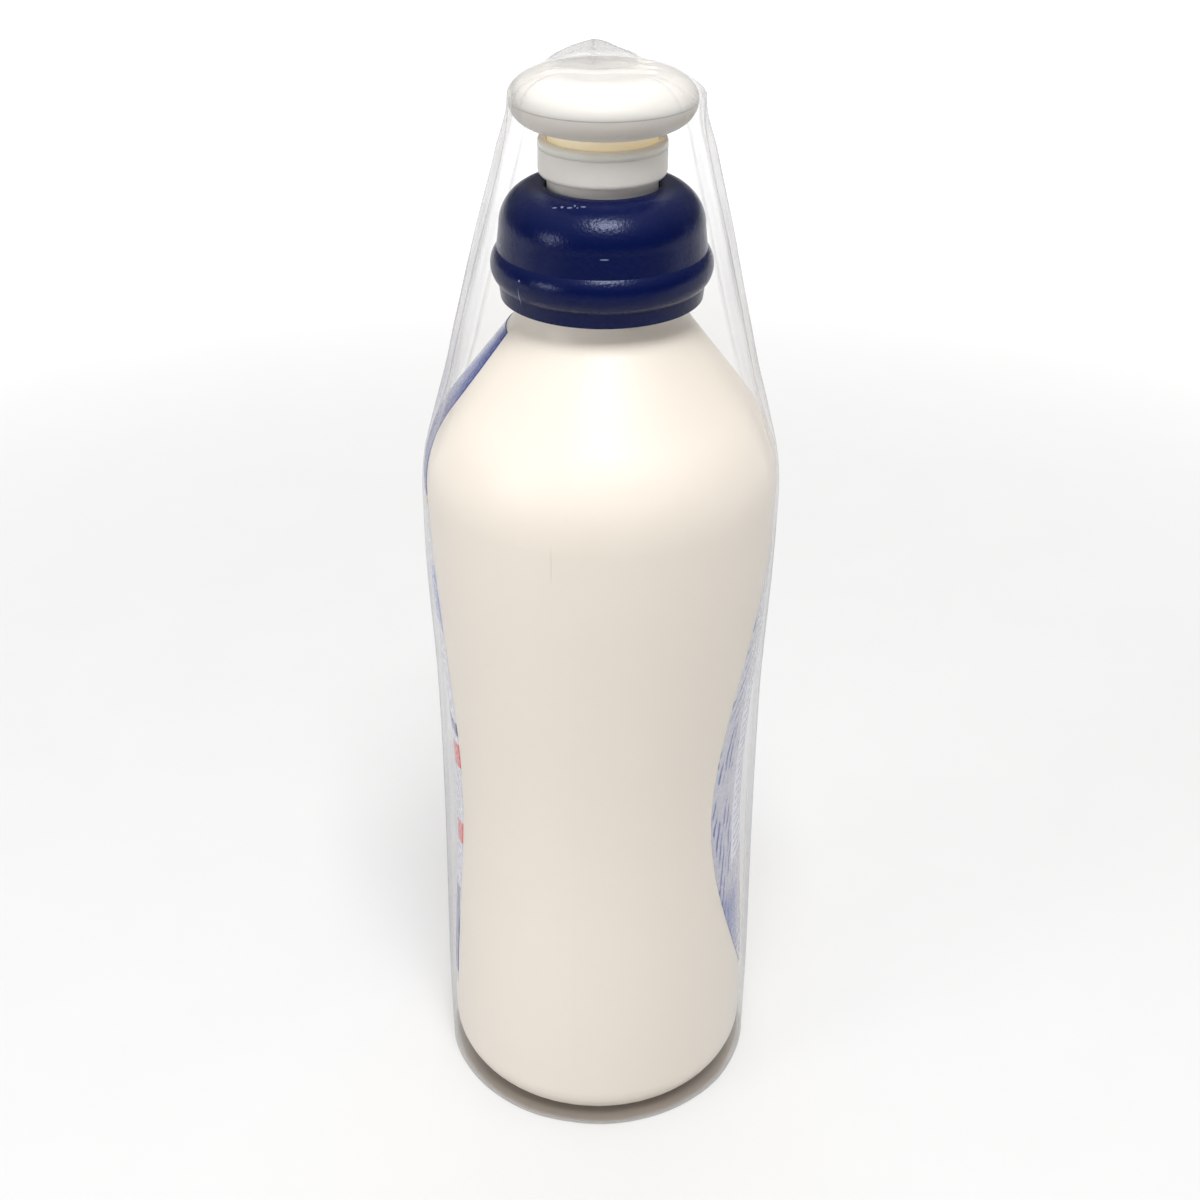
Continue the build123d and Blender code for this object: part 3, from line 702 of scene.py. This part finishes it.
def make_collar_lip():
    """The rounded, slightly translucent lip on top of the lock collar, with a faint painted glow in place
    of light that shines through it.
    """
    # Radius and height of the section's corners, in millimetres
    profile = [
        (9.2, 187.3),
        (9.22, 187.85),
        (9.5, 188.1),
        (9.9, 188.15),
        (10.3, 187.95),
        (10.52, 187.5),
        (10.54, 186.6),
        (10.3, 186.5),
    ]
    ring = bmesh.new()
    verts = [ring.verts.new((radius * MM, 0, height * MM)) for radius, height in profile]
    edges = [ring.edges.new((a, b)) for a, b in zip(verts, verts[1:] + verts[:1])]
    bmesh.ops.spin(
        ring,
        geom=verts + edges,
        axis=(0, 0, 1),
        cent=(0, 0, 0),
        angle=2 * math.pi,
        steps=128,
        use_merge=True,
    )
    bmesh.ops.remove_doubles(ring, verts=ring.verts, dist=1e-6)
    bmesh.ops.recalc_face_normals(ring, faces=ring.faces)
    mesh = bpy.data.meshes.new("collar_lip")
    ring.to_mesh(mesh)
    ring.free()
    mesh.polygons.foreach_set("use_smooth", [True] * len(mesh.polygons))
    lip = add_object("collar_lip", mesh)
    tones = colour(250, 241, 226), colour(246, 235, 216)
    lip.data.materials.append(white_plastic("lip_plastic", *tones, 0.3, milky=0.8, painted_glow=0.04))
    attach(lip, "pump")


def make_studio():
    """A pale floor that falls off toward the front, with painted shade near the bottle and a painted glow
    of its own, soft top and left lights and an even surround.
    """
    bpy.ops.mesh.primitive_circle_add(vertices=96, radius=FLOOR_RADIUS, fill_type="NGON")
    floor = bpy.context.object
    floor.name = "floor"
    material, t = node_tree("pale_floor")
    speckle = t.noise(40.0, 2.0, t.place())
    split = t.add("ShaderNodeSeparateXYZ", {"Vector": t.place()})
    # The square of the distance from the bottle's axis, and below it the way toward the camera, in metres
    span = t.math("MULTIPLY", split.outputs["X"], split.outputs["X"])
    span = t.math("ADD", span, t.math("MULTIPLY", split.outputs["Y"], split.outputs["Y"]))
    # Floor tone: darker near the bottle, painted shade that deepens the soft shadow round the base and
    # lowers the bounce, and darker toward the camera.
    near, far, front = ((level, level, level, 1) for level in (0.52, 0.9, 0.42))
    far_share = t.step(span, 0.006, 0.5)
    ahead = t.math(
        "ADD",
        t.math("MULTIPLY", split.outputs["X"], TOWARD.x),
        t.math("MULTIPLY", split.outputs["Y"], TOWARD.y),
    )
    pale = t.mix(t.step(ahead, 0.04, 0.4), t.mix(far_share, near, far), front)
    # The floor's glow is painted light that lifts it toward white, weaker near the bottle and toward the
    # camera.
    painted_glow = t.math("MULTIPLY", t.step(span, 0.006, 0.5, 0.2, 0.42), t.step(ahead, 0.04, 0.4, 1.0, 0.4))
    t.principled(
        {
            "Base Color": t.mix(t.math("MULTIPLY", speckle, 0.05), pale, far),
            "Roughness": 0.9,
            "Specular IOR Level": 0.1,
            "Emission Color": (1, 1, 1, 1),
            "Emission Strength": painted_glow,
        }
    )
    floor.data.materials.append(material)
    world = bpy.data.worlds.new("studio")
    world.use_nodes = True
    world.node_tree.nodes.clear()
    sky = Tree(world.node_tree)
    direction = sky.add("ShaderNodeTexCoord").outputs["Generated"]
    height = sky.add("ShaderNodeSeparateXYZ", {"Vector": direction}).outputs["Z"]
    rise = sky.math("POWER", sky.math("MAXIMUM", height, 0.0), 2.0)
    strength = sky.math("ADD", sky.math("MULTIPLY", rise, 1.0), 0.12)
    surround = sky.add("ShaderNodeBackground", {"Color": (1.0, 0.99, 0.98, 1), "Strength": strength})
    sky.add("ShaderNodeOutputWorld", {"Surface": surround})
    bpy.context.scene.world = world
    middle = Vector((0, 0, 0.15))
    soft_light("top_light", middle, turn=8, rise=64, distance=0.85, size=0.30, power=6.9)
    soft_light("left_light", middle, turn=-58, rise=13, distance=0.9, size=0.26, power=1.5)
    soft_light("far_light", -1.3 * TOWARD, turn=180, rise=89, distance=1.5, size=1.6, power=8.5)


def soft_light(name, aim, turn, rise, distance, size, power):
    """A square area light at a turn from the camera's side and a rise above the horizon, in degrees."""
    lamp = bpy.data.lights.new(name, "AREA")
    lamp.size = size
    lamp.energy = power
    holder = add_object(name, lamp)
    a, e = math.radians(turn), math.radians(rise)
    out = TOWARD * math.cos(a) * math.cos(e) + RIGHTWARD * math.sin(a) * math.cos(e)
    out += Vector((0, 0, math.sin(e)))
    holder.location = aim + out * distance
    holder.rotation_euler = (-out).to_track_quat("-Z", "Y").to_euler()


def make_camera():
    """The camera at the photograph's viewing angle."""
    data = bpy.data.cameras.new("camera")
    data.lens = CAMERA_LENS
    data.sensor_width = SENSOR
    data.sensor_fit = "HORIZONTAL"
    holder = add_object("camera", data)
    holder.location = TOWARD * CAMERA_DISTANCE + Vector((0, 0, CAMERA_HEIGHT))
    look = -TOWARD * math.cos(CAMERA_PITCH) - Vector((0, 0, math.sin(CAMERA_PITCH)))
    aim = look.to_track_quat("-Z", "Y")
    roll = Quaternion((0, 0, 1), CAMERA_ROLL)
    holder.rotation_mode = "QUATERNION"
    holder.rotation_quaternion = aim @ roll
    bpy.context.scene.camera = holder


def dress_solids():
    """Materials of the carried-over solids."""
    white = white_plastic("white_plastic", colour(237, 234, 229), colour(231, 227, 221), 0.34)
    cap = white_plastic("head_cap_plastic", colour(216, 213, 208), colour(211, 207, 201), 0.50)
    # The head's underside is greyer than its cap: partly its own tone, partly painted shade of the lower
    # half.
    under_tones = colour(212, 207, 200), colour(206, 200, 192)
    under = white_plastic("head_under_plastic", *under_tones, 0.30, line=HEAD_PARTING)
    seal = white_plastic("seal_plastic", colour(236, 236, 232), colour(228, 228, 224), 0.45)
    natural = white_plastic("natural_plastic", colour(232, 228, 214), colour(224, 219, 203), 0.35)
    sleeve_tones = colour(255, 244, 218), colour(255, 232, 196)
    # The sleeve's glow is painted light, in place of light that shines through its thin plastic.
    sleeve = white_plastic("sleeve_plastic", *sleeve_tones, 0.30, milky=1.0, painted_glow=0.22)
    steel = metal("spring_steel", colour(190, 190, 192), 0.25)
    paint("bottle", cream_plastic())
    paint("front_label", label_material("front_print", front_art))
    paint("back_label", label_material("back_print", back_art))
    paint("closure", navy_plastic())
    paint("neck_gasket", foam())
    paint("return_spring", steel)
    paint("inlet_ball", metal("ball_steel", colour(205, 205, 208), 0.12))
    paint("lock_sleeve", sleeve)
    for node in ("head_cap", "outlet_tube"):
        paint(node, cap)
    for node in ("lock_collar", "pump_stem", "piston_rod"):
        paint(node, white)
    paint("head_base", under)
    for node in ("stem_wiper", "piston"):
        paint(node, seal)
    for node in ("pump_housing", "dip_tube", "ball_cage"):
        paint(node, natural)


bpy.context.scene.view_settings.view_transform = "Standard"
dress_solids()
make_film()
make_collar_lip()
make_thread()
make_studio()
make_camera()
